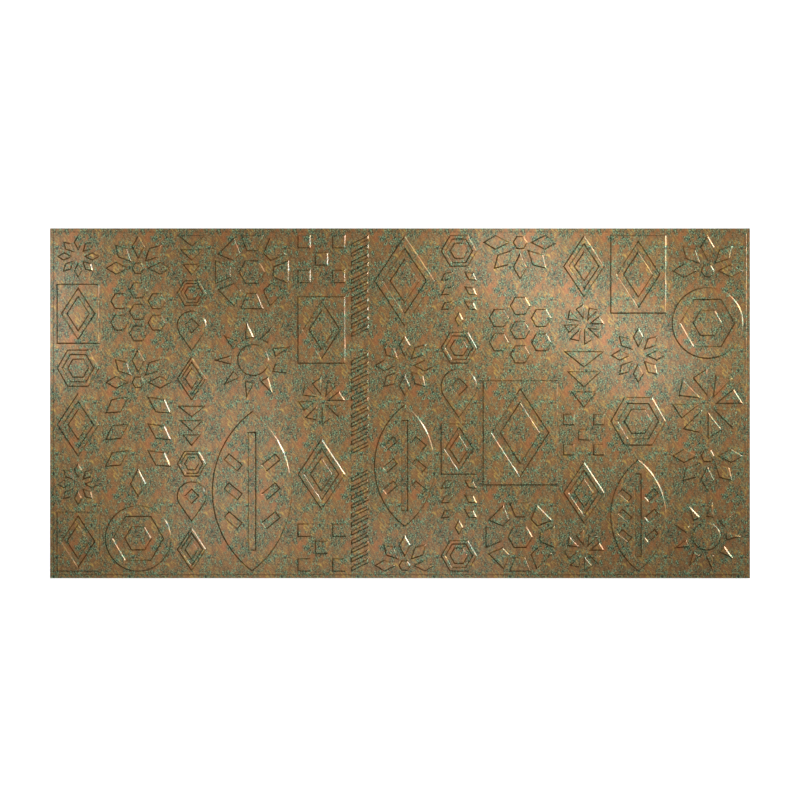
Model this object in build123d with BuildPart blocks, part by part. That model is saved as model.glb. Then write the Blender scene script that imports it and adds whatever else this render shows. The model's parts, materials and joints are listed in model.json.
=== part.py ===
"""Embossed vinyl wall panel: one thin sheet, formed over a mould, so its back is hollow under the relief.

Lengths are in millimetres and angles in degrees. The sheet lies face up with the back of its lip on the
XY plane, its length along X and the origin under its middle.
"""

import os
from math import cos, radians, sin, sqrt, tan

from build123d import *

# The sheet
panel_length = 2438.4
panel_width = 1219.2
sheet_thickness = 0.8

# The flat lip round the edge, and how far the field stands above it
lip_width = 12.0
field_rise = 1.2

# The relief on the field: its height, the lean of its walls and the room round its figures
relief_height = 4.2
wall_draft = 45.0
field_margin = 10.0
column_gap = 15.0
figure_gap = 13.0

# The strokes of the rope
rope_stroke = 17.0
rope_pitch = 31.0

# How many there are of what goes round or along a figure
star_petals = 8
fan_petals = 5
pinwheel_blades = 8
sun_rays = 9
wheel_spokes = 8
sprig_pairs = 3
pine_tiers = 3
leaf_veins = 3
rope_strokes = 11

# The proportions of the figures, as shares of a figure's width
band_share = 0.13
channel_share = 0.08
eye_share = 0.3
lozenge_height = 1.5
tablet_height = 1.4
leaf_height = 2.0
midrib_length = 1.45
vein_reach = 0.235
vein_length = 0.2
vein_pitch = 0.36
pine_tier_height = 0.4
sprig_pitch = 0.4

# The proportions of what stands round a centre, as shares of a figure's radius
petal_root = 0.26
petal_shoulder = 0.66
petal_half_width = 0.2
fan_hub = 0.2
sun_disc = 0.4
sun_ray_root = 0.54
sun_ray_half_width = 0.12
blade_root = 0.2
blade_heel = 0.84
wheel_hub = 0.34
wheel_ring = 0.56

# The slants of the sprig's leaves, the leaf's veins and the shoulder of the drop
sprig_slant = 35.0
vein_slant = 40.0
drop_shoulder = 35.0


def polar(radius, angle):
    """The point at a radius and an angle from +X."""
    return radius * cos(radians(angle)), radius * sin(radians(angle))


def frame_and_core(outline, width):
    """A band along an outline, a channel inside the band, and a core inside the channel."""
    band = band_share * width
    channel = channel_share * width
    with BuildSketch() as figure:
        add(outline)
        offset(outline, -band, kind=Kind.INTERSECTION, mode=Mode.SUBTRACT)
        offset(outline, -band - channel, kind=Kind.INTERSECTION, mode=Mode.ADD)
    return figure.sketch


def lozenge_outline(width, height):
    """A plain lozenge."""
    with BuildSketch() as outline:
        Polygon((width / 2, 0), (0, height / 2), (-width / 2, 0), (0, -height / 2))
    return outline.sketch


def lozenge(width):
    """A lozenge inside a lozenge frame."""
    return frame_and_core(lozenge_outline(width, lozenge_height * width), width)


def hexagon(width):
    """A hexagon inside a hexagon frame."""
    with BuildSketch() as outline:
        RegularPolygon(width / 2, 6)
    return frame_and_core(outline.sketch, width)


def tablet(width):
    """A block with a lozenge sunk in it and a smaller lozenge standing in that."""
    height = tablet_height * width
    border = 2 * band_share * width
    sunk = lozenge_outline(width - border, height - border)
    with BuildSketch() as figure:
        Rectangle(width, height)
        add(sunk, mode=Mode.SUBTRACT)
        offset(sunk, -channel_share * width, kind=Kind.INTERSECTION, mode=Mode.ADD)
    return figure.sketch


def chequer(width):
    """Four squares at the corners and one in the middle."""
    channel = channel_share * width
    cell = (width - 2 * channel) / 3
    spacing = 2 * (cell + channel)
    with BuildSketch() as figure:
        Rectangle(cell, cell)
        with GridLocations(spacing, spacing, 2, 2):
            Rectangle(cell, cell)
    return figure.sketch


def rosette(width):
    """Six hexagons round a seventh."""
    channel = channel_share * width
    cell_radius = (width - 2 * channel) / 6
    cell_spacing = cell_radius * sqrt(3) + channel
    with BuildSketch() as figure:
        RegularPolygon(cell_radius, 6)
        with PolarLocations(cell_spacing, 6, start_angle=30, rotate=False):
            RegularPolygon(cell_radius, 6)
    return figure.sketch


def roundel(width):
    """A disc with a hexagon channel sunk in it."""
    channel_radius = width / 2 - band_share * width
    core_radius = channel_radius - 2 * channel_share * width
    with BuildSketch() as figure:
        Circle(width / 2)
        RegularPolygon(channel_radius, 6, mode=Mode.SUBTRACT)
        RegularPolygon(core_radius, 6)
    return figure.sketch


def drop(width):
    """A drop, round below and pointed above, with a diamond eye."""
    radius = width / 2
    right, left = polar(radius, drop_shoulder), polar(radius, 180 - drop_shoulder)
    tip = (0, radius / sin(radians(drop_shoulder)))
    with BuildSketch() as figure:
        with BuildLine():
            ThreePointArc(left, (0, -radius), right)
            Polyline(right, tip, left)
        make_face()
        Rectangle(eye_share * width, eye_share * width, rotation=45, mode=Mode.SUBTRACT)
    return figure.sketch


def leaf(width):
    """A pointed leaf between two arcs, with slits for its midrib and its veins."""
    half_width, half_height = width / 2, leaf_height * width / 2
    slit = channel_share * width
    reach = vein_reach * width
    heights = [(vein - (leaf_veins - 1) / 2) * vein_pitch * width for vein in range(leaf_veins)]
    right_veins = [Location((reach, height, 0), (0, 0, vein_slant)) for height in heights]
    left_veins = [Location((-reach, height, 0), (0, 0, -vein_slant)) for height in heights]
    with BuildSketch() as figure:
        with BuildLine():
            ThreePointArc((0, -half_height), (half_width, 0), (0, half_height))
            ThreePointArc((0, half_height), (-half_width, 0), (0, -half_height))
        make_face()
        Rectangle(slit, midrib_length * width, mode=Mode.SUBTRACT)
        with Locations(*right_veins, *left_veins):
            Rectangle(vein_length * width, slit, mode=Mode.SUBTRACT)
    return figure.sketch


def petal(radius):
    """A kite that points out along +X, from near the middle of a figure to its radius."""
    root, shoulder, half_width = (
        share * radius for share in (petal_root, petal_shoulder, petal_half_width)
    )
    with BuildSketch() as figure:
        Polygon((root, 0), (shoulder, -half_width), (radius, 0), (shoulder, half_width), align=None)
    return figure.sketch


def star(width):
    """Kite-shaped petals all the way round."""
    with BuildSketch() as figure:
        with PolarLocations(0, star_petals):
            add(petal(width / 2))
    return figure.sketch


def fan(width):
    """Kite-shaped petals that spread upwards from a hexagon."""
    with BuildSketch() as figure:
        RegularPolygon(fan_hub * width / 2, 6)
        with PolarLocations(0, fan_petals, angular_range=180, endpoint=True):
            add(petal(width / 2))
    return figure.sketch


def sprig(width):
    """Kite-shaped leaves in pairs up a stem, with one at the top."""
    leaf_radius = width / 2 / cos(radians(sprig_slant))
    feet = [pair * sprig_pitch * width for pair in range(sprig_pairs)]
    slants = (sprig_slant, 180 - sprig_slant)
    pairs = [Location((0, foot, 0), (0, 0, slant)) for foot in feet for slant in slants]
    top = Location((0, feet[-1] + sprig_pitch * width / 2, 0), (0, 0, 90))
    with BuildSketch() as figure:
        with Locations(*pairs, top):
            add(petal(leaf_radius))
    return figure.sketch


def pinwheel(width):
    """Slanted blades round an open middle."""
    radius = width / 2
    blade_angle = 360 / pinwheel_blades
    heel = polar(blade_heel * radius, 2 * blade_angle / 3)
    with BuildSketch() as figure:
        with PolarLocations(0, pinwheel_blades):
            Polygon((blade_root * radius, 0), (radius, 0), heel, align=None)
    return figure.sketch


def sunburst(width):
    """A disc inside a ring of pointed rays."""
    radius = width / 2
    root, half_ray = sun_ray_root * radius, sun_ray_half_width * radius
    with BuildSketch() as figure:
        Circle(sun_disc * radius)
        with PolarLocations(0, sun_rays):
            Polygon((root, half_ray), (root, -half_ray), (radius, 0), align=None)
    return figure.sketch


def wheel(width):
    """A ring of blocks with channels between them, round a hexagon."""
    half_angle = 180 / wheel_spokes
    half_channel = channel_share * width / 2
    outer = width / 2 * cos(radians(half_angle))
    inner = wheel_ring * outer
    outer_half, inner_half = (reach * tan(radians(half_angle)) - half_channel for reach in (outer, inner))
    block = [(inner, -inner_half), (outer, -outer_half), (outer, outer_half), (inner, inner_half)]
    with BuildSketch() as figure:
        RegularPolygon(wheel_hub * width / 2, 6)
        with PolarLocations(0, wheel_spokes):
            Polygon(*block, align=None)
    return figure.sketch


def pine(width):
    """Triangles one above the other, each narrower than the one below."""
    tier_height = pine_tier_height * width
    tier_pitch = tier_height + channel_share * width
    with BuildSketch() as figure:
        for tier in range(pine_tiers):
            half_width = width / 2 * (1 - tier / (2 * pine_tiers))
            foot = tier * tier_pitch
            Polygon((-half_width, foot), (half_width, foot), (0, foot + tier_height), align=None)
    return figure.sketch


def rope(width):
    """A run of slanted strokes, one above the other."""
    half_width = width / 2
    half_slant, half_stroke = rope_pitch / 2, rope_stroke / 2
    stroke = [
        (-half_width, -half_slant - half_stroke),
        (half_width, half_slant - half_stroke),
        (half_width, half_slant + half_stroke),
        (-half_width, -half_slant + half_stroke),
    ]
    with BuildSketch() as figure:
        with GridLocations(0, rope_pitch, 1, rope_strokes):
            Polygon(*stroke, align=None)
    return figure.sketch


# The columns of the relief from left to right: a width, and the figures that follow each other up it
columns = [
    (150, (tablet, star, lozenge, hexagon)),
    (232, (roundel, sprig, fan, rosette)),
    (104, (lozenge, drop, hexagon, pine)),
    (280, (leaf, sunburst, wheel)),
    (168, (chequer, lozenge, pinwheel, tablet)),
    (62, (rope,)),
    (214, (fan, leaf, star, lozenge)),
    (128, (hexagon, sprig, tablet, drop)),
    (262, (wheel, tablet, rosette, fan)),
    (146, (pinwheel, lozenge, chequer, pine)),
    (196, (leaf, hexagon, star, tablet)),
    (250, (sunburst, fan, pinwheel, roundel)),
]


def spread(sizes, room):
    """The centres of things of these sizes along a line as long as the room, with equal gaps between."""
    gap = (room - sum(sizes)) / max(len(sizes) - 1, 1)
    starts = [sum(sizes[:place]) + place * gap for place in range(len(sizes))]
    return [start + size / 2 - room / 2 for start, size in zip(starts, sizes)]


def fill(sizes, room, gap):
    """The places in a list of sizes, taken in turn for as long as one of them still fits into the room."""
    chosen, left, place = [], room, 0
    while any(size <= left for size in sizes):
        if sizes[place] <= left:
            chosen.append(place)
            left -= sizes[place] + gap
        place = (place + 1) % len(sizes)
    return chosen


# How far a wall leans in over a height of one, and over the heights of the step and of the relief
wall_slope = tan(radians(wall_draft))
step_lean = field_rise * wall_slope
wall_lean = relief_height * wall_slope

# How much smaller an outline is on the back of the sheet than on its face
back_inset = sheet_thickness * (1 - sin(radians(wall_draft))) / cos(radians(wall_draft))

# The figures in their places: every other one up a column stands on its head
relief_border = lip_width + step_lean + field_margin
relief_length = panel_length - 2 * relief_border
relief_width = panel_width - 2 * relief_border
widths = [width for width, _ in columns]
laid_columns = fill(widths, relief_length, column_gap)
column_centres = spread([widths[place] for place in laid_columns], relief_length)
placed_figures = []
for column, x in zip(laid_columns, column_centres):
    width, figures = columns[column]
    drawn = [figure(width) for figure in figures]
    heights = [sketch.bounding_box().size.Y for sketch in drawn]
    stack = fill(heights, relief_width, figure_gap)
    figure_centres = spread([heights[place] for place in stack], relief_width)
    for number, (place, y) in enumerate(zip(stack, figure_centres)):
        sketch = drawn[place].rotate(Axis.Z, 180 * (number % 2))
        middle = sketch.bounding_box().center()
        placed_figures += sketch.moved(Location((x - middle.X, y - middle.Y))).faces()


def relief(base, inset):
    """The figures as solids on a base plane, with leaning walls and every outline drawn in by the inset."""
    with BuildSketch() as outlines:
        add(placed_figures)
        if inset:
            offset(amount=-inset, kind=Kind.INTERSECTION)
    pierced = [face for face in outlines.faces() if face.inner_wires()]
    whole = [face for face in outlines.faces() if not face.inner_wires()]
    with BuildPart() as body:
        with BuildSketch(base):
            add([Face(face.outer_wire()) for face in pierced])
        extrude(amount=relief_height, taper=wall_draft)
        with BuildSketch(base):
            add([Face(wire) for face in pierced for wire in face.inner_wires()])
            offset(amount=wall_lean, kind=Kind.INTERSECTION)
        pockets = extrude(amount=relief_height, taper=wall_draft, mode=Mode.PRIVATE)
        mirror(pockets, about=base.offset(relief_height / 2), mode=Mode.SUBTRACT)
        with BuildSketch(base):
            add(whole)
        extrude(amount=relief_height, taper=wall_draft)
    return body.part


field_back = Plane.XY.offset(field_rise)
field_front = Plane.XY.offset(field_rise + sheet_thickness)

with BuildPart() as wall_panel:
    with BuildSketch():
        Rectangle(panel_length, panel_width)
    extrude(amount=sheet_thickness)
    with BuildSketch(Plane.XY.offset(sheet_thickness)):
        Rectangle(panel_length - 2 * lip_width, panel_width - 2 * lip_width)
    extrude(amount=field_rise, taper=wall_draft)
    add(relief(field_front, 0))
    with BuildSketch():
        inset_lip = lip_width + back_inset
        Rectangle(panel_length - 2 * inset_lip, panel_width - 2 * inset_lip)
    extrude(amount=field_rise, taper=wall_draft, mode=Mode.SUBTRACT)
    add(relief(field_back, back_inset), mode=Mode.SUBTRACT)

os.makedirs("parts", exist_ok=True)
wall_panel.part.label = "wall_panel"
export_step(wall_panel.part, "parts/wall_panel.step")
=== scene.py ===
"""A formed vinyl wall panel with a copper and verdigris print, lying face up in a plain studio.

The sheet is worked out again from the outlines of its solid: a rounded wall profile is carried along every
outline, front and back, and the flats between the walls are filled. Lengths are in metres.
"""

import json
import logging
import math
from dataclasses import dataclass, field
from enum import Enum

import bpy
import numpy as np
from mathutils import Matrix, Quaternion, Vector
from mathutils.geometry import delaunay_2d_cdt

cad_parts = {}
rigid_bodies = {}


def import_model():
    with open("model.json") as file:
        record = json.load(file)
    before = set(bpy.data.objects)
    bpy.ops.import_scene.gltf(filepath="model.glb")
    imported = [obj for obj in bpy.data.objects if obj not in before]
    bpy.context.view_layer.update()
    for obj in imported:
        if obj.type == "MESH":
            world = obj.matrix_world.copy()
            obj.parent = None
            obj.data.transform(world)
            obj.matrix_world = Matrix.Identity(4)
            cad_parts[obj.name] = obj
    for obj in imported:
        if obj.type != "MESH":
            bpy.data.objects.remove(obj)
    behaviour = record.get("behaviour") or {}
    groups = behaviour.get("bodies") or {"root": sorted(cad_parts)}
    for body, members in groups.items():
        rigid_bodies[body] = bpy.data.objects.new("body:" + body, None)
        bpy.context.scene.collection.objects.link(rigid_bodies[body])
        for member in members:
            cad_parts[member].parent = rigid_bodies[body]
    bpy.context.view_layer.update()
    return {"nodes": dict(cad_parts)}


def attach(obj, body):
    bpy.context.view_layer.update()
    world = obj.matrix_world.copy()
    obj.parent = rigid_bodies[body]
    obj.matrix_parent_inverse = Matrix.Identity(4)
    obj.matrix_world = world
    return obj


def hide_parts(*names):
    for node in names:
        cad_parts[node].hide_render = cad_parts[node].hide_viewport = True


Pair = tuple[float, float]
Position = tuple[float, float, float]
Colour = tuple[float, float, float, float]
SocketValue = float | Colour | bpy.types.NodeSocket

LOG = logging.getLogger("wall_panel")
MILLIMETRE = 0.001
WHITE: Colour = (1.0, 1.0, 1.0, 1.0)

# The mesh attribute that tells how far the surface leans out of level; the print reads it for the painted
# shade on the walls
STEEPNESS = "steepness"

# The triangulation fills everything inside the outermost outline, and takes nearer points as one
CDT_ALL_TRIANGLES = 0
CDT_NEAREST = 1e-9

# A triangle belongs to a flat where at least this many of its corners place it there
VOTES_NEEDED = 2

# The middle of a mask that goes from nought to one
MASK_MIDDLE = 0.5

# The Mix node has sockets of the same names for each kind of data: these are its share and its colours
MIX_SHARE = 0
MIX_UNDER = 6
MIX_OVER = 7
MIX_RESULT = 2

# The sRGB standard's curve from display values to light: a straight foot, then a power
DISPLAY_WHITE = 255
SRGB_FOOT_END = 0.04045
SRGB_FOOT_SLOPE = 12.92
SRGB_OFFSET = 0.055
SRGB_POWER = 2.4


class Wall(Enum):
    """Which way the ground goes beyond the edge of a flat."""

    RISING = "rising"
    FALLING = "falling"


class Side(Enum):
    """A face of the sheet, with the sign of its normal along Z."""

    FRONT = 1
    BACK = -1

    @property
    def rim_row(self) -> int:
        """The place of this face's row among the rows of the rim, which run from the back to the front."""
        return -1 if self is Side.FRONT else 0


@dataclass
class Outlines:
    """Closed outlines laid end to end in one array, each with the higher ground on its left.

    Attributes:
        points: Plan positions, one row per point.
        following: For each point, the place of the next point on the same outline.
    """

    points: np.ndarray
    following: np.ndarray


@dataclass
class Swept:
    """A wall carried along outlines: one row of points for each step of its profile.

    Attributes:
        front: Front positions, rows by points by three.
        back: Back positions in the same order.
        normals: Unit normals of the front.
        following: For each point of a row, the place of the next one.
    """

    front: np.ndarray
    back: np.ndarray
    normals: np.ndarray
    following: np.ndarray


@dataclass
class FlatEdge:
    """Closed rows of vertices along the edge of a flat.

    Attributes:
        ids: The vertices' numbers in the mesh.
        following: For each of them, the place of the next one on the same row.
        flat_on_left: Whether the flat lies on the left along the row.
    """

    ids: np.ndarray
    following: np.ndarray
    flat_on_left: bool


@dataclass
class Solid:
    """The welded triangles of a node of the frame.

    Attributes:
        node: The frame's object for the node.
        weld: Vertices closer than this are one.
        points: Positions of the welded vertices, one row each.
        triangles: The vertices' numbers, one row per triangle.
    """

    node: bpy.types.Object
    weld: float = 0.01 * MILLIMETRE
    points: np.ndarray = field(init=False)
    triangles: np.ndarray = field(init=False)

    def __post_init__(self) -> None:
        """Reads the mesh and welds its loose triangles by rounding positions to the weld distance."""
        mesh = self.node.data
        flat_points = np.empty(3 * len(mesh.vertices), np.float32)
        mesh.vertices.foreach_get("co", flat_points)
        mesh.calc_loop_triangles()
        corners = np.empty(3 * len(mesh.loop_triangles), np.int32)
        mesh.loop_triangles.foreach_get("vertices", corners)
        steps = np.round(flat_points.reshape(-1, 3).astype(float) / self.weld)
        unique_steps, place = np.unique(steps, axis=0, return_inverse=True)
        self.points = unique_steps * self.weld
        self.triangles = place.reshape(-1)[corners].reshape(-1, 3)

    def levels(self) -> np.ndarray:
        """The heights of the solid's flats, from the lowest up."""
        return np.unique(self.points[:, 2])

    def edge_of_flat(self, level: float, wall: Wall) -> Outlines:
        """Finds the outlines of the upward flats at a level, where the wall beyond them goes one way.

        An edge that only one of the flat triangles has is on the outline. The triangle on its other side
        tells whether the wall there rises or falls.

        Args:
            level: The height of the flats.
            wall: The way that the ground goes beyond the outline.

        Returns:
            The outlines, with the higher ground on the left.
        """
        heights = self.points[self.triangles, 2]
        first, second, third = (self.points[self.triangles[:, corner]] for corner in range(3))
        upward = np.cross(second - first, third - first)[:, 2] > 0
        flat = np.all(np.abs(heights - level) < self.weld, axis=1) & upward
        count = len(self.points)
        starts = self.triangles
        ends = np.roll(self.triangles, -1, axis=1)
        owners = np.repeat(np.arange(len(starts)), 3)
        keys = (starts * count + ends).reshape(-1)
        order = np.argsort(keys)
        reverse_keys = (ends * count + starts).reshape(-1)
        across = owners[order[np.searchsorted(keys[order], reverse_keys)]]
        on_outline = flat[owners] & ~flat[across]
        rises = heights[across].max(axis=1) > level + self.weld
        chosen = on_outline & (rises == (wall is Wall.RISING))
        starts, ends = starts.reshape(-1)[chosen], ends.reshape(-1)[chosen]
        if wall is Wall.RISING:
            starts, ends = ends, starts
        return chain(starts, ends, self.points[:, :2])


def chain(starts: np.ndarray, ends: np.ndarray, positions: np.ndarray) -> Outlines:
    """Orders directed edges into closed outlines.

    Every edge points to the edge that begins where it ends. Jumping along these pointers by powers of two
    gives each edge the lowest edge number of its outline, and its number of steps from there.

    Args:
        starts: The vertex where each edge begins.
        ends: The vertex where each edge ends.
        positions: The plan position of every vertex.

    Returns:
        The outlines, one after the other.
    """
    count = len(starts)
    numbers = np.arange(count)
    edge_at = np.zeros(len(positions), int)
    edge_at[starts] = numbers
    after = edge_at[ends]
    doublings = range(int(math.log2(count)) + 2)
    root, jump = numbers.copy(), after.copy()
    for _ in doublings:
        root = np.minimum(root, root[jump])
        jump = jump[jump]
    steps = (root != numbers).astype(int)
    jump = np.where(root == numbers, numbers, after)
    for _ in doublings:
        steps = steps + steps[jump]
        jump = jump[jump]
    order = np.lexsort((np.where(steps == 0, 0, count - steps), root))
    rank = np.empty(count, int)
    rank[order] = numbers
    return Outlines(points=positions[starts[order]], following=rank[after[order]])


@dataclass(frozen=True)
class WallProfile:
    """The section of a formed wall: a round foot, a straight slope and a round crown.

    Attributes:
        rise: Height of the wall.
        lean: How far the wall leans over that height.
        foot_radius: Radius of the foot on the front.
        crown_radius: Radius of the crown on the front.
        arc_points: Points along each of the two arcs.
    """

    rise: float
    lean: float
    foot_radius: float = 0.5 * MILLIMETRE
    crown_radius: float = 1.1 * MILLIMETRE
    arc_points: int = 3

    def section(self) -> tuple[np.ndarray, np.ndarray, np.ndarray]:
        """Works out the front of the section.

        The foot's arc turns from level to the slope's angle, and the crown's arc turns back. Each arc
        touches the slope and the flat, one radius times the tangent of half the angle from their corner.

        Returns:
            Distances up the slope's side, heights, and slope angles.
        """
        slope = math.atan2(self.rise, self.lean)
        angles = np.linspace(0.0, slope, self.arc_points)
        foot_reach = self.foot_radius * math.tan(slope / 2)
        crown_reach = self.crown_radius * math.tan(slope / 2)
        foot_distances = self.foot_radius * np.sin(angles) - foot_reach
        foot_heights = self.foot_radius * (1 - np.cos(angles))
        crown_distances = self.lean + crown_reach - self.crown_radius * np.sin(angles[::-1])
        crown_heights = self.rise - self.crown_radius * (1 - np.cos(angles[::-1]))
        distances = np.concatenate([foot_distances, crown_distances])
        heights = np.concatenate([foot_heights, crown_heights])
        return distances, heights, np.concatenate([angles, angles[::-1]])


@dataclass
class FormedSheet:
    """The panel: a thin sheet with a flat lip, a raised field and figures raised on the field.

    Attributes:
        solid: The node that the sheet stands for.
        name: The name of the piece.
        crease: A turn of the outline above this angle is a corner, and a smaller one is part of a curve.
        corner_radius: Radius that the corners of the figures are rounded to.
        corner_points: Points round each corner.
        curve_points: Points for each step of a curve.
        longest_corner: The most of a straight run that a corner may take.
        rim_radius: Radius of the trimmed edge.
    """

    solid: Solid
    name: str = "formed_sheet"
    crease: float = math.radians(24.0)
    corner_radius: float = 1.6 * MILLIMETRE
    corner_points: int = 4
    curve_points: int = 3
    longest_corner: float = 0.4
    rim_radius: float = 0.25 * MILLIMETRE

    # What the mesh has so far: vertices with their normals, and faces with the side whose finish they have
    _points: list[np.ndarray] = field(default_factory=list, init=False)
    _normals: list[np.ndarray] = field(default_factory=list, init=False)
    _faces: list[list[int]] = field(default_factory=list, init=False)
    _finishes: list[Side] = field(default_factory=list, init=False)

    def build(self, finishes: dict[Side, bpy.types.Material]) -> bpy.types.Object:
        """Builds the sheet's mesh and dresses it.

        Args:
            finishes: The material of each side. The trimmed edge has the back's.

        Returns:
            The finished piece.
        """
        _, lip_front, field_back, field_front, _, crown_front = self.solid.levels()
        thickness = field_front - field_back
        sheet_outline = self.solid.edge_of_flat(lip_front, Wall.FALLING)
        step_outline = self.solid.edge_of_flat(lip_front, Wall.RISING)
        field_outline = self.solid.edge_of_flat(field_front, Wall.FALLING)
        figure_outlines = self.solid.edge_of_flat(field_front, Wall.RISING)
        step_rise = field_front - lip_front
        figure_rise = crown_front - field_front
        step_lean = (np.ptp(step_outline.points[:, 0]) - np.ptp(field_outline.points[:, 0])) / 2
        figure_lean = step_lean * figure_rise / step_rise

        rim = self.sweep_rim(sheet_outline, thickness)
        step = self.sweep(step_outline, WallProfile(step_rise, step_lean), lip_front, thickness)
        figures = self.sweep(figure_outlines, WallProfile(figure_rise, figure_lean), field_front, thickness)
        rim_rows = self.add_rim(rim)
        step_rows = self.add_wall(step)
        figure_rows = self.add_wall(figures)
        for side in Side:
            rim_edge = FlatEdge(rim_rows[side.rim_row], rim.following, flat_on_left=True)
            step_foot = FlatEdge(step_rows[side][0], step.following, flat_on_left=False)
            step_crown = FlatEdge(step_rows[side][-1], step.following, flat_on_left=True)
            figure_feet = FlatEdge(figure_rows[side][0], figures.following, flat_on_left=False)
            figure_crowns = FlatEdge(figure_rows[side][-1], figures.following, flat_on_left=True)
            self.add_flat(side, [rim_edge, step_foot])
            self.add_flat(side, [step_crown, figure_feet])
            self.add_flat(side, [figure_crowns])
        return self.finish_mesh(finishes)

    def expand(self, outlines: Outlines, distances: np.ndarray) -> tuple[np.ndarray, np.ndarray]:
        """Moves outlines towards their higher ground, with round corners and finer curves.

        A point moves along its mitre: the sum of the two edges' left normals over one plus their product. A
        corner becomes a parabola that touches both edges. A step of a curve becomes a cubic whose end
        tangents halve the turns there.

        Args:
            outlines: The outlines at no distance.
            distances: How far to move them, one for each row.

        Returns:
            Plan positions, rows by points by two, and the place of the point that follows each one.
        """
        points, following, leading = outlines.points, outlines.following, before(outlines.following)
        ahead = points[following] - points
        ahead /= np.linalg.norm(ahead, axis=1, keepdims=True)
        behind = ahead[leading]
        left = np.stack([-ahead[:, 1], ahead[:, 0]], axis=1)
        agreement = np.sum(left * left[leading], axis=1, keepdims=True)
        mitre = (left + left[leading]) / (1 + agreement)
        turn = np.abs(np.arccos(np.clip(agreement[:, 0], -1, 1)))
        rows = points + distances[:, None, None] * mitre
        runs = np.linalg.norm(rows[:, following] - rows, axis=2)
        corner = turn > self.crease
        curved = ~corner & ~corner[following]
        counts = np.where(corner, self.corner_points, np.where(curved, self.curve_points, 1))
        first = np.cumsum(counts) - counts
        owner = np.repeat(np.arange(len(points)), counts)
        place = np.arange(len(owner)) - first[owner]

        reach = self.corner_radius * np.tan(turn / 2)
        reach = np.minimum(reach, self.longest_corner * np.minimum(runs, runs[:, leading]))[..., None]
        along = (place / np.maximum(counts[owner] - 1, 1))[:, None]
        start = (rows - reach * behind)[:, owner]
        end = (rows + reach * ahead)[:, owner]
        middle = rows[:, owner]
        at_corner = (1 - along) ** 2 * start + 2 * along * (1 - along) * middle + along**2 * end

        tangent = ahead + behind
        tangent /= np.linalg.norm(tangent, axis=1, keepdims=True)
        share = (place / counts[owner])[:, None]
        next_owner = following[owner]
        run = runs[:, owner, None]
        on_curve = (
            (2 * share**3 - 3 * share**2 + 1) * middle
            + (share**3 - 2 * share**2 + share) * run * tangent[owner]
            + (3 * share**2 - 2 * share**3) * rows[:, next_owner]
            + (share**3 - share**2) * run * tangent[next_owner]
        )
        plan = np.where(corner[owner][:, None], at_corner, on_curve)
        last = place == counts[owner] - 1
        return plan, np.where(last, first[next_owner], np.arange(len(owner)) + 1)

    def sweep(self, outlines: Outlines, profile: WallProfile, base: float, thickness: float) -> Swept:
        """Carries a wall's section along outlines, and its back one thickness behind it along its normal.

        Args:
            outlines: The feet of the walls.
            profile: The section of the walls.
            base: The height of the front at the foot.
            thickness: The sheet's thickness.

        Returns:
            The swept walls.
        """
        distances, heights, angles = profile.section()
        plan, following = self.expand(outlines, distances)
        back_plan, _ = self.expand(outlines, distances + thickness * np.sin(angles))
        downhill = -np.sin(angles)[:, None, None] * left_of(plan, following)
        normals = with_heights(downhill, np.cos(angles))
        front = with_heights(plan, base + heights)
        back = with_heights(back_plan, base + heights - thickness * np.cos(angles))
        return Swept(front, back, normals, following)

    def sweep_rim(self, outline: Outlines, thickness: float) -> Swept:
        """Carries the trimmed edge round the sheet: up from the back, with a small round at both faces.

        Args:
            outline: The sheet's own outline.
            thickness: The sheet's thickness.

        Returns:
            The rim, with its rows in order from the back to the front.
        """
        radius = self.rim_radius
        distances = np.array([radius, 0.0, 0.0, radius])
        heights = np.array([0.0, radius, thickness - radius, thickness])
        plan, following = self.expand(outline, distances)
        sideways = np.array([0.0, 1.0, 1.0, 0.0])[:, None, None]
        upward = np.array([-1.0, 0.0, 0.0, 1.0])
        normals = with_heights(-sideways * left_of(plan, following), upward)
        rows = with_heights(plan, heights)
        return Swept(rows, rows, normals, following)

    def add_rows(self, rows: np.ndarray, normals: np.ndarray) -> np.ndarray:
        """Stores rows of vertices with their normals.

        Args:
            rows: Positions, rows by points by three.
            normals: Unit normals in the same layout.

        Returns:
            The vertices' numbers, rows by points.
        """
        stored = sum(len(points) for points in self._points)
        self._points.append(rows.reshape(-1, 3))
        self._normals.append(normals.reshape(-1, 3))
        return stored + np.arange(rows.shape[0] * rows.shape[1]).reshape(rows.shape[:2])

    def add_faces(self, faces: np.ndarray, side: Side, finish: Side) -> None:
        """Stores faces that look up, turned over where they look out of the back.

        Args:
            faces: The vertices' numbers, one row per face.
            side: The face of the sheet that they look out of.
            finish: The face of the sheet whose material they have.
        """
        self._faces += faces[:, :: side.value].tolist()
        self._finishes += [finish] * len(faces)

    def add_strips(self, ids: np.ndarray, following: np.ndarray, side: Side, finish: Side) -> None:
        """Joins each row of vertices to the next with four-sided faces.

        Args:
            ids: The vertices' numbers, rows by points.
            following: For each point of a row, the place of the next one.
            side: The face of the sheet that the strips look out of.
            finish: The face of the sheet whose material they have.
        """
        near, far = ids[:-1], ids[1:]
        strips = np.stack([near, near[:, following], far[:, following], far], axis=2)
        self.add_faces(strips.reshape(-1, 4), side, finish)

    def add_wall(self, wall: Swept) -> dict[Side, np.ndarray]:
        """Adds both faces of a swept wall.

        Args:
            wall: The wall.

        Returns:
            The vertices' numbers on each face of the sheet, rows by points.
        """
        rows = {
            Side.FRONT: self.add_rows(wall.front, wall.normals),
            Side.BACK: self.add_rows(wall.back, -wall.normals),
        }
        for side, ids in rows.items():
            self.add_strips(ids, wall.following, side, side)
        return rows

    def add_rim(self, rim: Swept) -> np.ndarray:
        """Adds the trimmed edge.

        Args:
            rim: The edge, with its rows from the back to the front.

        Returns:
            The vertices' numbers, rows by points.
        """
        ids = self.add_rows(rim.front, rim.normals)
        self.add_strips(ids, rim.following, Side.FRONT, Side.BACK)
        return ids

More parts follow.
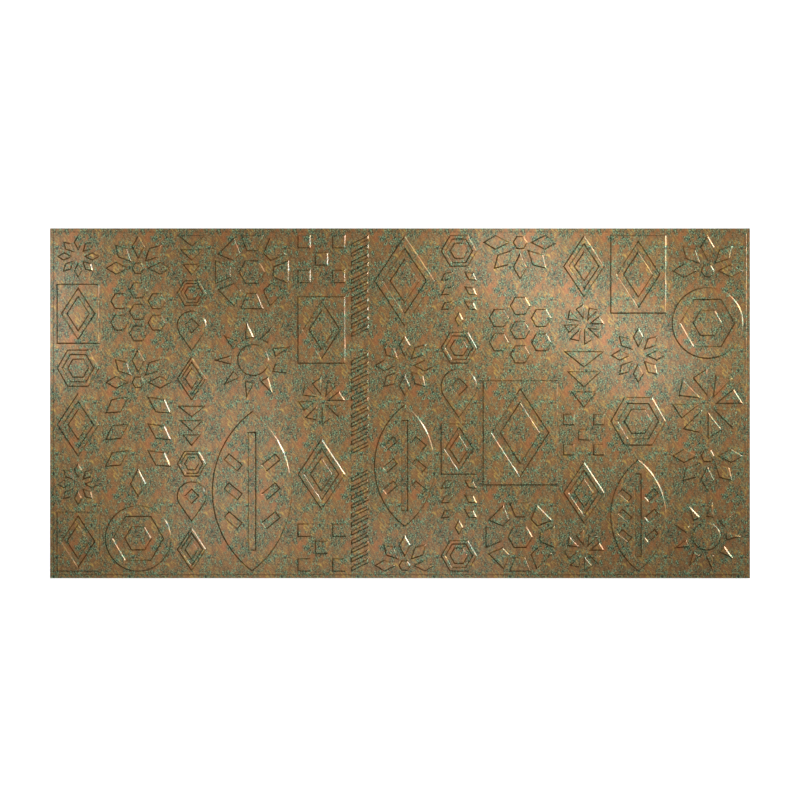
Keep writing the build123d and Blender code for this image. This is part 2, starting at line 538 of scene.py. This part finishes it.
    def add_flat(self, side: Side, edges: list[FlatEdge]) -> None:
        """Fills the flat between its edges with triangles.

        The edges' points are joined by a triangulation that keeps to the edges. At each corner of a
        triangle, the angle to its middle tells which side of the edge there it lies on, and a triangle is
        kept where at least two of its corners place it on the flat's side.

        Args:
            side: The face of the sheet.
            edges: All the edges of the flat.
        """
        ids = np.concatenate([edge.ids for edge in edges])
        starts = np.cumsum([0] + [len(edge.ids) for edge in edges[:-1]])
        following = np.concatenate([start + edge.following for start, edge in zip(starts, edges)])
        on_left = np.concatenate([np.full(len(edge.ids), edge.flat_on_left) for edge in edges])
        plan = np.concatenate(self._points)[ids, :2]
        borders = np.stack([np.arange(len(ids)), following], axis=1).tolist()
        corners = [Vector(point) for point in plan.tolist()]
        joined = delaunay_2d_cdt(corners, borders, [], CDT_ALL_TRIANGLES, CDT_NEAREST)
        _, _, faces, sources, _, _ = joined
        given = np.array([same[0] for same in sources])
        triangles = given[np.array(faces)]
        middles = plan[triangles].mean(axis=1, keepdims=True)
        ahead = angle_of(plan[following] - plan)
        behind = (angle_of(plan[before(following)] - plan) - ahead) % math.tau
        inward = (angle_of(middles - plan[triangles]) - ahead[triangles]) % math.tau
        votes = (inward < behind[triangles]) == on_left[triangles]
        kept = triangles[votes.sum(axis=1) >= VOTES_NEEDED]
        self.add_faces(ids[kept], side, side)

    def finish_mesh(self, finishes: dict[Side, bpy.types.Material]) -> bpy.types.Object:
        """Puts the stored vertices, faces and normals into a mesh object.

        Each vertex also keeps its steepness, the length of its normal's plan part: nought on the flats. The
        print darkens its colour by it, as painted shade on the walls.

        Args:
            finishes: The material of each side.

        Returns:
            The piece.
        """
        mesh = bpy.data.meshes.new(self.name)
        mesh.from_pydata(np.concatenate(self._points), [], self._faces)
        mesh.shade_smooth()
        normals = np.concatenate(self._normals)
        mesh.normals_split_custom_set_from_vertices(normals)
        steepness = mesh.attributes.new(STEEPNESS, "FLOAT", "POINT")
        steepness.data.foreach_set("value", np.linalg.norm(normals[:, :2], axis=1))
        for material in finishes.values():
            mesh.materials.append(material)
        slots = {side: slot for slot, side in enumerate(finishes)}
        mesh.polygons.foreach_set("material_index", [slots[side] for side in self._finishes])
        mesh.update()
        piece = bpy.data.objects.new(self.name, mesh)
        bpy.context.scene.collection.objects.link(piece)
        return piece


def before(following: np.ndarray) -> np.ndarray:
    """Follows closed rows the other way round.

    Args:
        following: For each point, the place of the next one.

    Returns:
        For each point, the place of the one before it.
    """
    leading = np.empty_like(following)
    leading[following] = np.arange(len(following))
    return leading


def angle_of(vectors: np.ndarray) -> np.ndarray:
    """The angle of plan vectors from +X, in radians."""
    return np.arctan2(vectors[..., 1], vectors[..., 0])


def left_of(plan: np.ndarray, following: np.ndarray) -> np.ndarray:
    """Works out normals to the left of closed rows, square to the line between a point's two neighbours.

    Args:
        plan: Plan positions, rows by points by two.
        following: For each point of a row, the place of the next one.

    Returns:
        Unit normals in the layout of the positions.
    """
    along = plan[:, following] - plan[:, before(following)]
    along /= np.linalg.norm(along, axis=2, keepdims=True)
    return np.stack([-along[..., 1], along[..., 0]], axis=2)


def with_heights(plan: np.ndarray, heights: np.ndarray) -> np.ndarray:
    """Adds one height per row to rows of plan positions, as their third coordinate."""
    third = np.broadcast_to(heights[:, None, None], (*plan.shape[:2], 1))
    return np.concatenate([plan, third], axis=2)


class NodeBoard:
    """A node tree with short calls to add nodes, set their sockets and link them.

    A value given to a socket may be a plain number, a colour or another node's output socket.
    """

    def __init__(self, tree: bpy.types.NodeTree) -> None:
        """Starts on a node tree."""
        self.tree = tree

    def add(self, kind: str, inputs: dict[str | int, SocketValue], **settings: object) -> bpy.types.Node:
        """Adds a node.

        Args:
            kind: The node's Blender type.
            inputs: Values or output sockets for its inputs, by name or number.
            **settings: The node's own properties.

        Returns:
            The node.
        """
        node = self.tree.nodes.new(kind)
        for name, value in settings.items():
            setattr(node, name, value)
        for key, value in inputs.items():
            if isinstance(value, bpy.types.NodeSocket):
                self.tree.links.new(value, node.inputs[key])
            else:
                node.inputs[key].default_value = value
        return node

    def math(self, operation: str, *values: SocketValue) -> bpy.types.NodeSocket:
        """Adds a Math node on numbers or sockets and returns its result."""
        return self.add("ShaderNodeMath", dict(enumerate(values)), operation=operation).outputs[0]

    def blend(
        self, share: SocketValue, under: SocketValue, over: SocketValue, way: str = "MIX"
    ) -> bpy.types.NodeSocket:
        """Lays one colour over another.

        Args:
            share: How much of the upper one is laid on, from nought to one.
            under: The lower colour.
            over: The upper colour.
            way: Blender's word for how they are put together.

        Returns:
            The colour that comes of it.
        """
        inputs = {MIX_SHARE: share, MIX_UNDER: under, MIX_OVER: over}
        return self.add("ShaderNodeMix", inputs, data_type="RGBA", blend_type=way).outputs[MIX_RESULT]

    def shade(self, under: SocketValue, brightness: SocketValue) -> bpy.types.NodeSocket:
        """Multiplies a colour by a brightness and returns the colour."""
        return self.blend(1.0, under, brightness, way="MULTIPLY")

    def ramp(self, value: SocketValue, ends: Pair, reach: Pair = (0.0, 1.0)) -> bpy.types.NodeSocket:
        """Carries a value over in proportion from its own range to another.

        Args:
            value: The value, such as a mask.
            ends: What comes out at the low and the high end of its range, and beyond them.
            reach: The range of the value.

        Returns:
            The new value.
        """
        from_low, from_high = reach
        to_low, to_high = ends
        inputs = {"From Min": from_low, "From Max": from_high, "To Min": to_low, "To Max": to_high}
        return self.add("ShaderNodeMapRange", {"Value": value, **inputs}).outputs[0]


def colour(red: int, green: int, blue: int) -> Colour:
    """Turns display values into a colour for a shader, by the curve of the sRGB standard.

    Args:
        red: Red, from 0 to 255.
        green: Green in the same scale.
        blue: Blue in the same scale.

    Returns:
        The colour in linear light, with no transparency.
    """
    display = np.array([red, green, blue]) / DISPLAY_WHITE
    foot = display / SRGB_FOOT_SLOPE
    curve = ((display + SRGB_OFFSET) / (1 + SRGB_OFFSET)) ** SRGB_POWER
    linear = np.where(display <= SRGB_FOOT_END, foot, curve)
    return (*linear.tolist(), 1.0)


def new_group(name: str, inputs: tuple[str, ...], output: str) -> bpy.types.NodeTree:
    """Starts a shader node group that reads a Vector and puts out one value.

    Args:
        name: The group's name.
        inputs: The names of its other inputs, all of them numbers.
        output: The name of its output.

    Returns:
        The group's tree, with its sockets but no nodes.
    """
    tree = bpy.data.node_groups.new(name, "ShaderNodeTree")
    tree.interface.new_socket("Vector", in_out="INPUT", socket_type="NodeSocketVector")
    for socket in inputs:
        tree.interface.new_socket(socket, in_out="INPUT", socket_type="NodeSocketFloat")
    tree.interface.new_socket(output, in_out="OUTPUT", socket_type="NodeSocketFloat")
    return tree


@dataclass(frozen=True)
class VinylGrain:
    """The tooth of formed vinyl, as a node group that puts out a height.

    Attributes:
        name: The group's name.
        pitch: Size of the fine grain.
        ripple_pitch: Size of the slow ripple under it.
        ripple_share: Height of the ripple over that of the grain.
        octaves: Finer layers in each.
    """

    name: str = "vinyl_grain"
    pitch: float = 2.2 * MILLIMETRE
    ripple_pitch: float = 18.0 * MILLIMETRE
    ripple_share: float = 2.0
    octaves: float = 2.0

    def group(self) -> bpy.types.NodeTree:
        """Builds the group once: a fine noise and a slow one, added up.

        Returns:
            The group.
        """
        made = bpy.data.node_groups.get(self.name)
        if made:
            return made
        tree = new_group(self.name, (), "Height")
        board = NodeBoard(tree)
        place = board.add("NodeGroupInput", {}).outputs["Vector"]
        grain, ripple = (
            board.add("ShaderNodeTexNoise", {"Vector": place, "Scale": 1 / pitch, "Detail": self.octaves})
            for pitch in (self.pitch, self.ripple_pitch)
        )
        height = board.math("MULTIPLY_ADD", ripple.outputs[0], self.ripple_share, grain.outputs[0])
        board.add("NodeGroupOutput", {"Height": height})
        return tree


@dataclass(frozen=True)
class RepeatedNoise:
    """Noise that repeats as a printed sheet does, as a node group that puts out a mask.

    The repeat is a half drop: the print starts again one repeat to the side, and half a repeat to the side
    and up. Two angles, turns of x over the width plus and minus y over the height, come back to themselves
    at each of these steps. Their cosines and sines are the four coordinates of the noise.

    Attributes:
        name: The group's name.
        width: Width of the repeat.
        height: Height of the repeat.
    """

    name: str = "repeated_noise"
    width: float = 265.0 * MILLIMETRE
    height: float = 359.0 * MILLIMETRE

    def group(self) -> bpy.types.NodeTree:
        """Builds the group once and returns it.

        Its inputs are the number of noise cells along each diagonal of the repeat, the noise's own
        settings, a shift that picks another noise, and the range that the mask goes from nought to one in.

        Returns:
            The group.
        """
        made = bpy.data.node_groups.get(self.name)
        if made:
            return made
        noise_settings = ("Detail", "Roughness", "Distortion")
        tree = new_group(
            self.name, ("Rising Cells", "Falling Cells", *noise_settings, "Shift", "Low", "High"), "Mask"
        )
        board = NodeBoard(tree)
        given = board.add("NodeGroupInput", {}).outputs
        place = board.add("ShaderNodeSeparateXYZ", {0: given["Vector"]}).outputs
        across = board.math("MULTIPLY", place["X"], math.tau / self.width)
        upward = board.math("MULTIPLY", place["Y"], math.tau / self.height)
        rising = board.math("SUBTRACT", across, upward)
        falling = board.math("ADD", across, upward)
        rising_radius = board.math("DIVIDE", given["Rising Cells"], math.tau)
        falling_radius = board.math("DIVIDE", given["Falling Cells"], math.tau)
        first = board.math("MULTIPLY", board.math("COSINE", rising), rising_radius)
        second = board.math("MULTIPLY", board.math("SINE", rising), rising_radius)
        third = board.math("MULTIPLY", board.math("COSINE", falling), falling_radius)
        fourth = board.math("MULTIPLY_ADD", board.math("SINE", falling), falling_radius, given["Shift"])
        circles = board.add("ShaderNodeCombineXYZ", {0: first, 1: second, 2: third}).outputs[0]
        inputs = {"Vector": circles, "W": fourth, "Scale": 1.0}
        inputs |= {setting: given[setting] for setting in noise_settings}
        noise = board.add("ShaderNodeTexNoise", inputs, noise_dimensions="4D").outputs[0]
        limits = {"Value": noise, "From Min": given["Low"], "From Max": given["High"]}
        mask = board.add("ShaderNodeMapRange", limits, interpolation_type="SMOOTHSTEP").outputs[0]
        board.add("NodeGroupOutput", {"Mask": mask})
        return tree


@dataclass(frozen=True)
class InkMask:
    """Where one ink of the print lies: the part of a repeated noise that is above a range.

    Attributes:
        cells: Noise cells along the rising and the falling diagonal of the repeat.
        span: The noise where the ink begins, and where it is full.
        shift: Which noise it is.
        detail: Finer layers in the noise.
        roughness: How strong the finer layers are.
        distortion: How far the noise is pulled about.
    """

    cells: Pair
    span: Pair
    shift: float
    detail: float = 2.0
    roughness: float = 0.5
    distortion: float = 0.0

    def lay(self, board: NodeBoard, place: bpy.types.NodeSocket) -> bpy.types.NodeSocket:
        """Adds the mask to a material.

        Args:
            board: The material's nodes.
            place: Object coordinates.

        Returns:
            The mask, from nought to one.
        """
        rising, falling = self.cells
        low, high = self.span
        inputs = {
            "Vector": place,
            "Rising Cells": rising,
            "Falling Cells": falling,
            "Detail": self.detail,
            "Roughness": self.roughness,
            "Distortion": self.distortion,
            "Shift": self.shift,
            "Low": low,
            "High": high,
        }
        return board.add("ShaderNodeGroup", inputs, node_tree=RepeatedNoise().group()).outputs["Mask"]


def new_material(name: str) -> tuple[bpy.types.Material, NodeBoard]:
    """Starts a material with no nodes.

    Args:
        name: The material's name.

    Returns:
        The material and the board of its nodes.
    """
    material = bpy.data.materials.new(name)
    material.use_nodes = True
    material.node_tree.nodes.clear()
    return material, NodeBoard(material.node_tree)


def grain_normal(
    board: NodeBoard, place: bpy.types.NodeSocket, strength: float, depth: float
) -> bpy.types.NodeSocket:
    """Adds the vinyl's grain to a material as a bump.

    Args:
        board: The material's nodes.
        place: Object coordinates.
        strength: How much of the bump shows.
        depth: Height of the grain.

    Returns:
        The bumped normal.
    """
    grain = board.add("ShaderNodeGroup", {"Vector": place}, node_tree=VinylGrain().group())
    inputs = {"Strength": strength, "Distance": depth, "Height": grain.outputs["Height"]}
    return board.add("ShaderNodeBump", inputs).outputs["Normal"]


@dataclass(frozen=True)
class CopperPrint:
    """The printed face, under a thin gloss: brown copper, orange bloom, brushed gold, flecked verdigris.

    Attributes:
        name: The material's name.
        brown, copper: The two tones of the ground.
        orange: The bloom on the ground.
        gold: The brush strokes.
        green_dark, green_pale: The gaps and the grains of the verdigris.
        fleck: The dark flecks.
        tone: Where the ground is copper, not brown.
        bloom: Where the orange bloom lies.
        strokes: The strokes of gold.
        brushed: The parts of the ground that have strokes.
        worms: The pale grains of the verdigris.
        patches: Where the verdigris lies.
        mottle: Where the verdigris is thick within its patches.
        flecks: Where the dark flecks lie in the verdigris.
        grit: The fine light and dark of the whole print.
        bloom_strength: The most that the bloom covers.
        stroke_strength: The most that a stroke covers.
        verdigris_range: How much the verdigris covers where it is thin and where it is thick.
        grit_depth: How strong the grit is on the bare ground and on the thick verdigris.
        wall_painted_shade: Painted shade: how much darker the colour is made on an upright wall, standing
            in for the walls' shade.
        metallic_range: Metallic of the bare ground and of the thick verdigris.
        roughness_range: Roughness of the bare ground and of the thick verdigris.
        specular: Level of the print's own reflection.
        coat: Weight of the gloss over the print.
        coat_roughness: Roughness of that gloss.
        grain_strength: How much of the grain shows.
        grain_depth: Height of the grain.
    """

    name: str = "copper_print"
    brown: Colour = colour(127, 93, 53)
    copper: Colour = colour(149, 107, 62)
    orange: Colour = colour(184, 107, 56)
    gold: Colour = colour(190, 155, 74)
    green_dark: Colour = colour(60, 59, 35)
    green_pale: Colour = colour(124, 163, 122)
    fleck: Colour = colour(46, 46, 29)
    tone: InkMask = InkMask((26.0, 26.0), (0.34, 0.66), shift=3.1, detail=3.0, roughness=0.7)
    bloom: InkMask = InkMask((6.0, 6.0), (0.5, 0.64), shift=11.7, detail=5.0, roughness=0.7)
    strokes: InkMask = InkMask((10.0, 34.0), (0.5, 0.66), shift=21.3, detail=3.0, roughness=0.6)
    brushed: InkMask = InkMask((4.0, 4.0), (0.38, 0.56), shift=33.9)
    worms: InkMask = InkMask(
        (52.0, 52.0), (0.42, 0.58), shift=41.3, detail=1.0, roughness=0.6, distortion=0.5
    )
    patches: InkMask = InkMask((4.5, 4.5), (0.436, 0.556), shift=57.1, detail=6.0, roughness=0.8)
    mottle: InkMask = InkMask((26.0, 26.0), (0.35, 0.6), shift=63.7)
    flecks: InkMask = InkMask((48.0, 48.0), (0.58, 0.66), shift=77.9, detail=1.0)
    grit: InkMask = InkMask((62.0, 62.0), (0.36, 0.64), shift=91.3, detail=1.0)
    bloom_strength: float = 0.42
    stroke_strength: float = 0.85
    verdigris_range: Pair = (0.18, 1.0)
    grit_depth: Pair = (0.4, 1.25)
    # Painted shade: the colour is darkened on the walls by their steepness
    wall_painted_shade: float = 0.3
    metallic_range: Pair = (0.42, 0.22)
    roughness_range: Pair = (0.4, 0.5)
    specular: float = 0.3
    coat: float = 0.26
    coat_roughness: float = 0.2
    grain_strength: float = 0.15
    grain_depth: float = 0.2 * MILLIMETRE

    def lay_ground(self, board: NodeBoard, place: bpy.types.NodeSocket) -> bpy.types.NodeSocket:
        """Lays the copper ground: two tones, then the bloom, then the brush strokes.

        Args:
            board: The material's nodes.
            place: Object coordinates.

        Returns:
            The ground's colour.
        """
        ground = board.blend(self.tone.lay(board, place), self.brown, self.copper)
        bloom = board.math("MULTIPLY", self.bloom.lay(board, place), self.bloom_strength)
        ground = board.blend(bloom, ground, self.orange)
        brushed = board.math("MULTIPLY", self.brushed.lay(board, place), self.stroke_strength)
        strokes = board.math("MULTIPLY", self.strokes.lay(board, place), brushed)
        return board.blend(strokes, ground, self.gold)

    def material(self) -> bpy.types.Material:
        """Builds the material: ground, verdigris with its flecks, grit, then painted shade on the walls.

        Returns:
            The material.
        """
        material, board = new_material(self.name)
        place = board.add("ShaderNodeTexCoord", {}).outputs["Object"]
        ground = self.lay_ground(board, place)
        verdigris = board.blend(self.worms.lay(board, place), self.green_dark, self.green_pale)
        mottle = board.ramp(self.mottle.lay(board, place), self.verdigris_range)
        green_share = board.math("MULTIPLY", self.patches.lay(board, place), mottle)
        skin = board.blend(green_share, ground, verdigris)
        flecks = board.math("MULTIPLY", self.flecks.lay(board, place), green_share)
        skin = board.blend(flecks, skin, self.fleck)
        grit = board.math("SUBTRACT", self.grit.lay(board, place), MASK_MIDDLE)
        grit_depth = board.ramp(green_share, self.grit_depth)
        skin = board.shade(skin, board.math("MULTIPLY_ADD", grit, grit_depth, 1.0))
        # Painted shade: the colour is darkened where the surface is steep, so that the walls come out
        # darker as if shaded
        steepness = board.add("ShaderNodeAttribute", {}, attribute_name=STEEPNESS).outputs["Fac"]
        skin = board.shade(skin, board.math("MULTIPLY_ADD", steepness, -self.wall_painted_shade, 1.0))
        inputs = {
            "Base Color": skin,
            "Metallic": board.ramp(green_share, self.metallic_range),
            "Roughness": board.ramp(green_share, self.roughness_range),
            "Specular IOR Level": self.specular,
            "Coat Weight": self.coat,
            "Coat Roughness": self.coat_roughness,
            "Normal": grain_normal(board, place, self.grain_strength, self.grain_depth),
        }
        shader = board.add("ShaderNodeBsdfPrincipled", inputs)
        board.add("ShaderNodeOutputMaterial", {"Surface": shader.outputs[0]})
        return material


@dataclass(frozen=True)
class BareVinyl:
    """The unprinted back and the trimmed edge: plain warm grey vinyl with a faint cloudiness.

    Attributes:
        name: The material's name.
        light, dark: The two tones of the vinyl.
        cloud_size: Size of the clouds between them.
        cloud_octaves: Finer layers in the clouds.
        roughness_range: Roughness of the dark and of the light tone.
        grain_strength: How much of the grain shows.
        grain_depth: Height of the grain.
    """

    name: str = "bare_vinyl"
    light: Colour = colour(124, 118, 106)
    dark: Colour = colour(104, 98, 87)
    cloud_size: float = 70.0 * MILLIMETRE
    cloud_octaves: float = 5.0
    roughness_range: Pair = (0.62, 0.5)
    grain_strength: float = 0.3
    grain_depth: float = 0.2 * MILLIMETRE

    def material(self) -> bpy.types.Material:
        """Builds the material: clouds of the two tones, with their own roughness, and the grain.

        Returns:
            The material.
        """
        material, board = new_material(self.name)
        place = board.add("ShaderNodeTexCoord", {}).outputs["Object"]
        noise = {"Vector": place, "Scale": 1 / self.cloud_size, "Detail": self.cloud_octaves}
        clouds = board.add("ShaderNodeTexNoise", noise).outputs[0]
        inputs = {
            "Base Color": board.blend(clouds, self.dark, self.light),
            "Roughness": board.ramp(clouds, self.roughness_range),
            "Normal": grain_normal(board, place, self.grain_strength, self.grain_depth),
        }
        shader = board.add("ShaderNodeBsdfPrincipled", inputs)
        board.add("ShaderNodeOutputMaterial", {"Surface": shader.outputs[0]})
        return material


@dataclass(frozen=True)
class SoftLight:
    """A rectangular studio lamp that the camera does not see.

    Attributes:
        name: The lamp's name.
        place: Where it hangs.
        size: Width and height of its face.
        power: Its power in watts.
        target: What it points at: the middle of the sheet, unless told otherwise.
        turn: How far its face is turned about the line to the target.
    """

    name: str
    place: Position
    size: Pair
    power: float
    target: Position = (0.0, 0.0, 0.0)
    turn: float = 0.0

    @classmethod
    def above(cls, name: str, place: Position, size: Pair, power: float, turn: float = 0.0) -> "SoftLight":
        """A lamp that looks straight down on a part of the sheet."""
        return cls(name, place, size, power, target=(*place[:2], 0.0), turn=turn)

    def hang(self) -> None:
        """Hangs the lamp."""
        lamp = bpy.data.lights.new(self.name, "AREA")
        lamp.shape = "RECTANGLE"
        lamp.size, lamp.size_y = self.size
        lamp.energy = self.power
        hung = bpy.data.objects.new(self.name, lamp)
        hung.location = self.place
        aim = (Vector(self.target) - Vector(self.place)).to_track_quat("-Z", "Y")
        hung.rotation_euler = (aim @ Quaternion((0.0, 0.0, 1.0), self.turn)).to_euler()
        hung.visible_camera = False
        bpy.context.scene.collection.objects.link(hung)


@dataclass
class Studio:
    """A plain pale floor, soft light from above, three keys at the right and a camera overhead.

    Attributes:
        view_width: How much of the floor is in the picture's width.
        view_shift: How far the camera stands above the panel's middle in the picture.
        camera_height: Height of the camera.
        floor_half: Half the floor's width.
        floor_drop: How far the floor lies below the sheet.
        floor_colour: The floor's own colour.
        floor_roughness: The floor's roughness.
        floor_glow: The light that the floor adds to its colour where it is seen, by the sheet and far away.
        floor_glow_reach: The distances from the middle between which the first goes over to the second.
        world_grey: Brightness of the dim world round the studio.
    """

    view_width: float = 2787.0 * MILLIMETRE
    view_shift: float = 11.5 * MILLIMETRE
    camera_height: float = 9.0
    floor_half: float = 30.0
    floor_drop: float = 1.0 * MILLIMETRE
    floor_colour: Colour = (0.8, 0.8, 0.8, 1.0)
    floor_roughness: float = 0.9
    floor_glow: Pair = (0.75, 1.0)
    floor_glow_reach: Pair = (1.5, 5.0)
    world_grey: float = 0.04

    def build(self) -> None:
        """Builds the floor, the lamps, the world and the camera."""
        self.lay_floor()
        self.set_world()
        for lamp in self.lamps():
            lamp.hang()
        self.hang_camera()
        bpy.context.scene.view_settings.view_transform = "Standard"

    def lamps(self) -> list[SoftLight]:
        """Lists the lamps.

        The sky panel lights the whole sheet. The keys light the walls of the figures and the step of the
        lip from the right, and the glows brighten parts of the sheet.

        Returns:
            The lamps of the studio.
        """
        step = (1.2, 0.35, 0.0)
        right_turn = math.radians(-37.0)
        return [
            SoftLight("sky_panel", (0.0, 0.0, 5.0), size=(6.0, 5.0), power=57.0),
            SoftLight("far_key", (14.0, 5.6, 4.4), size=(1.2, 1.2), power=770.0),
            SoftLight("low_key", (4.6, 2.4, 0.3), size=(0.9, 0.25), power=230.0),
            SoftLight("step_key", (3.4, 0.62, 0.12), size=(0.4, 0.12), power=45.0, target=step),
            SoftLight.above("right_glow", (0.69, 0.37, 1.1), size=(1.03, 0.36), power=6.4, turn=right_turn),
            SoftLight.above("left_glow", (-0.68, -0.24, 1.4), size=(0.47, 0.76), power=3.8),
            SoftLight.above("edge_glow", (-1.46, 0.36, 1.4), size=(0.33, 0.57), power=5.2),
            SoftLight.above("lower_glow", (0.11, -0.61, 1.4), size=(0.66, 0.28), power=1.6),
        ]

    def lay_floor(self) -> None:
        """Lays the floor: plain to the light, and white where the camera or a reflection sees it."""
        half = self.floor_half
        corners = [(-half, -half), (half, -half), (half, half), (-half, half)]
        mesh = bpy.data.meshes.new("floor")
        mesh.from_pydata([(x, y, -self.floor_drop) for x, y in corners], [], [(0, 1, 2, 3)])
        floor = bpy.data.objects.new("floor", mesh)
        bpy.context.scene.collection.objects.link(floor)
        material, board = new_material("pale_floor")
        place = board.add("ShaderNodeTexCoord", {}).outputs["Object"]
        distance = board.add("ShaderNodeVectorMath", {0: place}, operation="LENGTH").outputs["Value"]
        glow = board.ramp(distance, self.floor_glow, reach=self.floor_glow_reach)
        rays = board.add("ShaderNodeLightPath", {}).outputs
        seen = board.math("MAXIMUM", rays["Is Camera Ray"], rays["Is Glossy Ray"])
        seen = board.math("MAXIMUM", seen, rays["Is Transmission Ray"])
        inputs = {
            "Base Color": self.floor_colour,
            "Roughness": self.floor_roughness,
            "Emission Color": WHITE,
            "Emission Strength": board.math("MULTIPLY", seen, glow),
        }
        shader = board.add("ShaderNodeBsdfPrincipled", inputs)
        board.add("ShaderNodeOutputMaterial", {"Surface": shader.outputs[0]})
        mesh.materials.append(material)

    def set_world(self) -> None:
        """Sets a dim grey world."""
        world = bpy.data.worlds.new("studio")
        world.use_nodes = True
        grey = (self.world_grey, self.world_grey, self.world_grey, 1.0)
        world.node_tree.nodes["Background"].inputs["Color"].default_value = grey
        bpy.context.scene.world = world

    def hang_camera(self) -> None:
        """Hangs the camera over the panel, looking straight down with +Y up in the picture."""
        lens = bpy.data.cameras.new("camera")
        lens.lens = lens.sensor_width * self.camera_height / self.view_width
        camera = bpy.data.objects.new("camera", lens)
        camera.location = (0.0, self.view_shift, self.camera_height)
        bpy.context.scene.collection.objects.link(camera)
        bpy.context.scene.camera = camera


def main() -> None:
    """Builds the panel and the studio."""
    logging.basicConfig(level=logging.INFO, format="%(name)s: %(message)s")
    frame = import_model()
    finishes = {Side.FRONT: CopperPrint().material(), Side.BACK: BareVinyl().material()}
    sheet = FormedSheet(Solid(frame["nodes"]["wall_panel"])).build(finishes)
    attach(sheet, "root")
    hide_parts("wall_panel")
    LOG.info("%s: %d vertices, %d faces", sheet.name, len(sheet.data.vertices), len(sheet.data.polygons))
    Studio().build()


if __name__ == "__main__":
    main()
